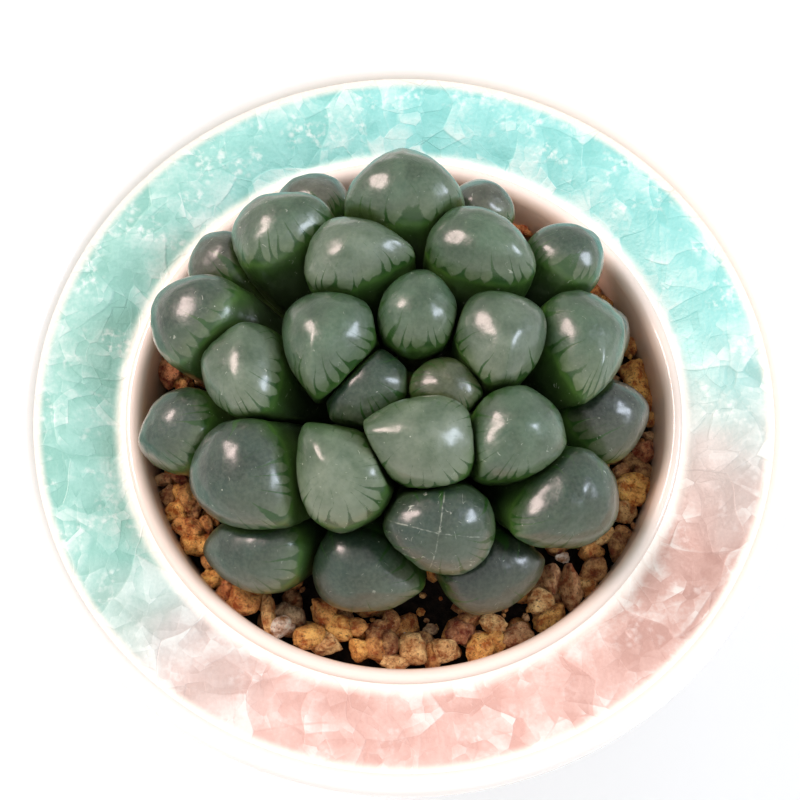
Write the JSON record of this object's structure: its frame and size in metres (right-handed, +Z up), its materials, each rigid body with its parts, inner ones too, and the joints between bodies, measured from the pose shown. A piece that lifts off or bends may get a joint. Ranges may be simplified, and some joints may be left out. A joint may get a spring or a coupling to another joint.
{
  "type": "potted haworthia",
  "caption": "Small succulent rosette of plump, round-ended window leaves in grit, in a footed porcelain pot whose dished brim holds a ring of crackle glass.",
  "frame": {"origin": "centre of the foot ring's underside, on the surface that the pot stands on", "axes": "+Z up, -Y to the front, the side the picture looks from, +X to the picture's right"},
  "size_m": [0.09, 0.09, 0.0651],
  "materials": {
    "porcelain": "gloss",
    "crackle_glass": "gloss",
    "potting_soil": "matte",
    "baked_clay_grit": "matte",
    "stem": "satin",
    "leaf": "gloss"
  },
  "bodies": {
    "root": {"pot": "porcelain", "crackle_glass_ring": "crackle_glass", "potting_soil": "potting_soil", "grit_top_dressing": "baked_clay_grit", "stem": "stem", "leaf_crown_1": "leaf", "leaf_crown_2": "leaf", "leaf_crown_3": "leaf", "leaf_crown_4": "leaf", "leaf_crown_5": "leaf", "leaf_inner_1": "leaf", "leaf_inner_2": "leaf", "leaf_inner_3": "leaf", "leaf_inner_4": "leaf", "leaf_inner_5": "leaf", "leaf_inner_6": "leaf", "leaf_middle_1": "leaf", "leaf_middle_2": "leaf", "leaf_middle_3": "leaf", "leaf_middle_4": "leaf", "leaf_middle_5": "leaf", "leaf_middle_6": "leaf", "leaf_middle_7": "leaf", "leaf_middle_8": "leaf", "leaf_outer_1": "leaf", "leaf_outer_2": "leaf", "leaf_outer_3": "leaf", "leaf_outer_4": "leaf", "leaf_outer_5": "leaf", "leaf_outer_6": "leaf", "leaf_outer_7": "leaf", "leaf_outer_8": "leaf", "leaf_outer_9": "leaf"}
  },
  "joints": []
}
